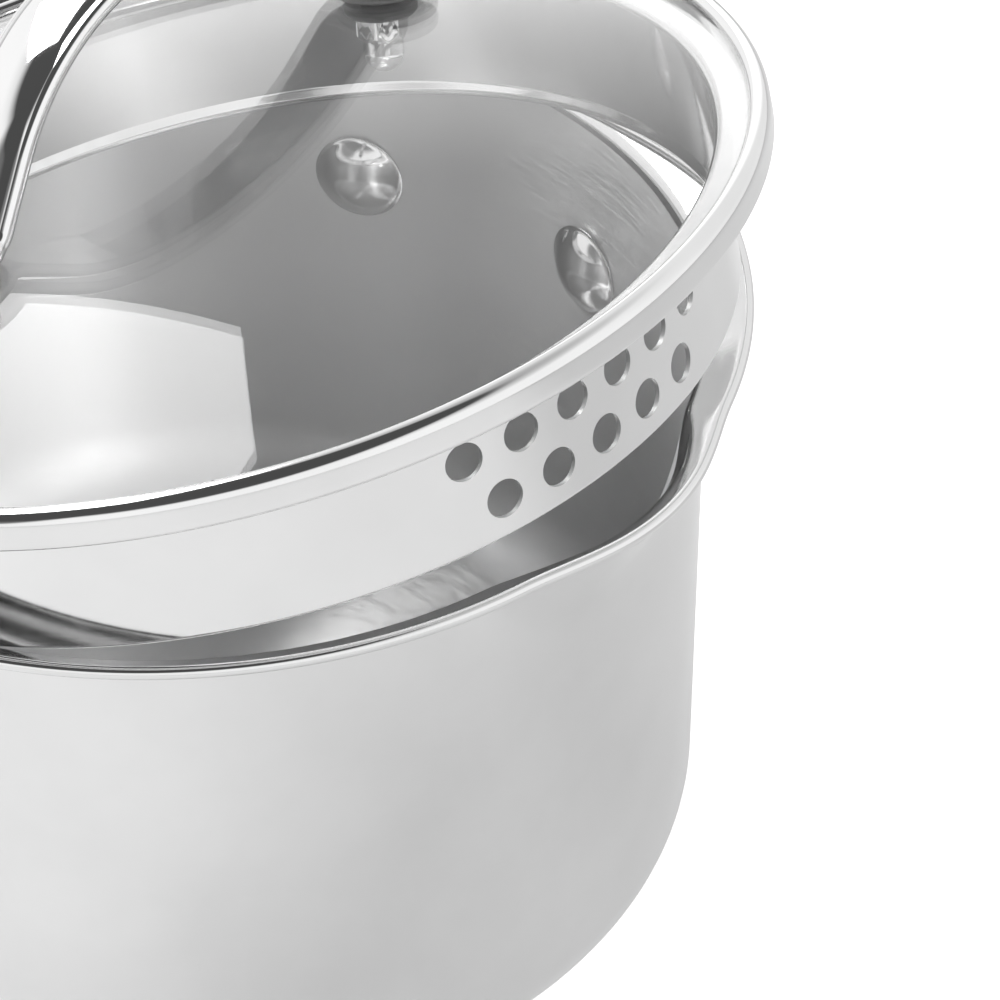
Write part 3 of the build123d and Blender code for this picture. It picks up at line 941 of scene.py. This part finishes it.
def build_fixings():
    hollow = washer_radius**2 / (2 * (glass_sphere - glass_thickness))
    under = -glass_thickness - hollow - grip_gap
    brim = grommet_radius - brim_inset
    flange = [(0.0, grip_gap), (brim - 0.3, grip_gap), (brim, grip_gap + 0.3)]
    flange += [(brim, grip_gap + 0.7), (brim - 0.3, grip_gap + grommet_flange)]
    flange += [(0.0, grip_gap + grommet_flange)]
    sleeve = rod(sleeve_radius, grip_gap - glass_thickness, grip_gap + 0.1, 40)
    low = under - washer_thickness
    disc = [(0.0, low), (washer_radius - 0.4, low), (washer_radius, low + 0.4)]
    disc += [(washer_radius, under - 0.3), (washer_radius - 0.3, under), (0.0, under)]
    stud = rod(stud_radius, under - washer_thickness - nut_height, foot_lift + strap_thickness / 2, 32)
    nut_place = Matrix.Translation((0, 0, low - grip_gap))
    kinds = {
        "grommets": (merged([lathe(flange, 64, False), sleeve]), "seal", "lid_grommets", seal),
        "washers": (lathe(disc, 64, False), "seal", "lid_washers", seal),
        "studs": (stud, "bright_steel", "lid_studs", bright),
        "cap_nuts": (placed(nut_part(), nut_place), "bright_steel", "lid_cap_nuts", bright),
    }
    for name, (part, slot, node, material) in kinds.items():
        both = merged([placed(part, fixing_place(side)) for side in (-1, 1)])
        piece(name, mesh_from(name, both), "lid", [node], [material], sharp=32)


build_pan_body()
build_base()
build_pan_handle()
build_rivets()
build_band()
build_glass()
build_strap()
build_fixings()
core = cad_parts["base_core"]
core.data.materials.clear()
core.data.materials.append(core_metal)


# Stage: a white table and a white studio with darker parts for the metal to reflect

table_reach = 3.0
# painted shade and painted light on the table: from x = 0 to 0.12 m its colour darkens from 0.86 to 0.72
# and its glow falls from 0.20 to 0.12
table_painted_shade_ramp = (0.0, 0.12)
table_painted_shade_tones = (0.86, 0.72)
table_painted_glow = (0.20, 0.12)
table_whiter = 0.58
lamp_middle = Vector((-0.05, -0.03, 0.14))
lamp_distance = 1.2
lamp_facing = (70, 46)
lamp_corners = ((56.6, 48.3), (65.5, 60.9), (115.0, 65.0), (112.0, 45.0), (73.5, 17.0))
lamp_strength = 5.5
room_level = 1.1
room_least = 0.08

# Parts of the room as (azimuth, elevation), inner and outer half angle, and how much darker they are
room_shades = (
    ((178, 68), 25, 42, 1.05),
    ((160, 27), 9, 19, 0.9),
    ((5, 25), 15, 60, 0.15),
    ((34, 11), 8, 24, -0.6),
    ((170, 80), 18, 55, 0.6),
)
white = (1.0, 1.0, 1.0, 1.0)


def grey(level):
    return (level, level, level, 1.0)


def build_stage():
    # a pale table, whiter to the camera than it is lit; its colour is painted shade and its glow is painted
    # light, both darker towards +x
    mesh = bpy.data.meshes.new("table")
    corners = [(sx * table_reach, sy * table_reach, 0) for sx, sy in ((-1, -1), (1, -1), (1, 1), (-1, 1))]
    mesh.from_pydata(corners, [], [(0, 1, 2, 3)])
    table = bpy.data.objects.new("table", mesh)
    bpy.context.scene.collection.objects.link(table)
    shader = Shader("white_table")
    path = shader.node("ShaderNodeLightPath")
    split = shader.node("ShaderNodeSeparateXYZ")
    shader.link(shader.position(), split.inputs[0])
    # painted shade: the table gets darker and glows less towards +x
    across = shader.ramp(split.outputs["X"], *table_painted_shade_ramp, 0.0, 1.0)
    whiter = shader.math("MULTIPLY", path.outputs["Is Camera Ray"], table_whiter)
    surface = shader.principled(
        Base_Color=shader.mix(across, grey(table_painted_shade_tones[0]), grey(table_painted_shade_tones[1])),
        Roughness=0.9,
        Specular_IOR_Level=0.0,
        Emission_Color=white,
        Emission_Strength=shader.math("ADD", shader.ramp(across, 0.0, 1.0, *table_painted_glow), whiter),
    )
    mesh.materials.append(shader.finish(surface.outputs["BSDF"]))


def heading(azimuth, elevation):
    around = math.radians(azimuth)
    up = math.radians(elevation)
    return Vector((math.cos(up) * math.cos(around), math.cos(up) * math.sin(around), math.sin(up)))


def build_softbox():
    # one large lamp behind the pan; its edges are the edges of the bright patch in the lid's glass
    face = heading(*lamp_facing)
    corners = []
    for corner in lamp_corners:
        way = heading(*corner)
        corners.append(lamp_middle + way * (lamp_distance / way.dot(face)))
    mesh = bpy.data.meshes.new("softbox")
    mesh.from_pydata(corners, [], [tuple(range(len(corners)))])
    lamp = bpy.data.objects.new("softbox", mesh)
    bpy.context.scene.collection.objects.link(lamp)
    shader = Shader("lamp_cloth")
    glow = shader.node("ShaderNodeEmission")
    glow.inputs["Color"].default_value = white
    glow.inputs["Strength"].default_value = lamp_strength
    mesh.materials.append(shader.finish(glow.outputs["Emission"]))
    lamp.visible_camera = False


def build_world():
    # white, but dark above the camera and to its left, grey overhead and on the right, bright low behind
    world = bpy.data.worlds.new("studio")
    bpy.context.scene.world = world
    world.use_nodes = True
    tree = world.node_tree
    tree.nodes.clear()
    output = tree.nodes.new("ShaderNodeOutputWorld")
    where = tree.nodes.new("ShaderNodeTexCoord")
    base = tree.nodes.new("ShaderNodeValue")
    base.outputs[0].default_value = room_level
    level = base.outputs[0]
    for way, inner, outer, depth in room_shades:
        toward = tree.nodes.new("ShaderNodeVectorMath")
        toward.operation = "DOT_PRODUCT"
        tree.links.new(where.outputs["Generated"], toward.inputs[0])
        toward.inputs[1].default_value = heading(*way)
        shade = tree.nodes.new("ShaderNodeMapRange")
        shade.interpolation_type = "SMOOTHSTEP"
        tree.links.new(toward.outputs["Value"], shade.inputs["Value"])
        shade.inputs["From Min"].default_value = math.cos(math.radians(outer))
        shade.inputs["From Max"].default_value = math.cos(math.radians(inner))
        shade.inputs["To Max"].default_value = depth
        less = tree.nodes.new("ShaderNodeMath")
        less.operation = "SUBTRACT"
        tree.links.new(level, less.inputs[0])
        tree.links.new(shade.outputs["Result"], less.inputs[1])
        level = less.outputs[0]
    least = tree.nodes.new("ShaderNodeMath")
    least.operation = "MAXIMUM"
    tree.links.new(level, least.inputs[0])
    least.inputs[1].default_value = room_least
    background = tree.nodes.new("ShaderNodeBackground")
    background.inputs["Color"].default_value = white
    tree.links.new(least.outputs[0], background.inputs["Strength"])
    plain = tree.nodes.new("ShaderNodeBackground")
    plain.inputs["Color"].default_value = white
    path = tree.nodes.new("ShaderNodeLightPath")
    blend = tree.nodes.new("ShaderNodeMixShader")
    tree.links.new(path.outputs["Is Camera Ray"], blend.inputs["Fac"])
    tree.links.new(background.outputs["Background"], blend.inputs[1])
    tree.links.new(plain.outputs["Background"], blend.inputs[2])
    tree.links.new(blend.outputs["Shader"], output.inputs["Surface"])


def build_camera():
    right = Vector((0.57937, -0.81506, 0.00313))
    down = Vector((-0.51991, -0.37251, -0.76872))
    forward = Vector((0.62772, 0.44375, -0.63958))
    place = Matrix.Identity(4)
    for row in range(3):
        place[row][0] = right[row]
        place[row][1] = -down[row]
        place[row][2] = -forward[row]
    place.translation = Vector((-0.38539, -0.33208, 0.48496))
    data = bpy.data.cameras.new("camera")
    data.lens = 151.2
    data.sensor_width = 36.0
    data.dof.use_dof = False
    camera = bpy.data.objects.new("camera", data)
    camera.matrix_world = place
    bpy.context.scene.collection.objects.link(camera)
    bpy.context.scene.camera = camera


build_stage()
build_softbox()
build_world()
build_camera()
bpy.context.scene.view_settings.view_transform = "Standard"
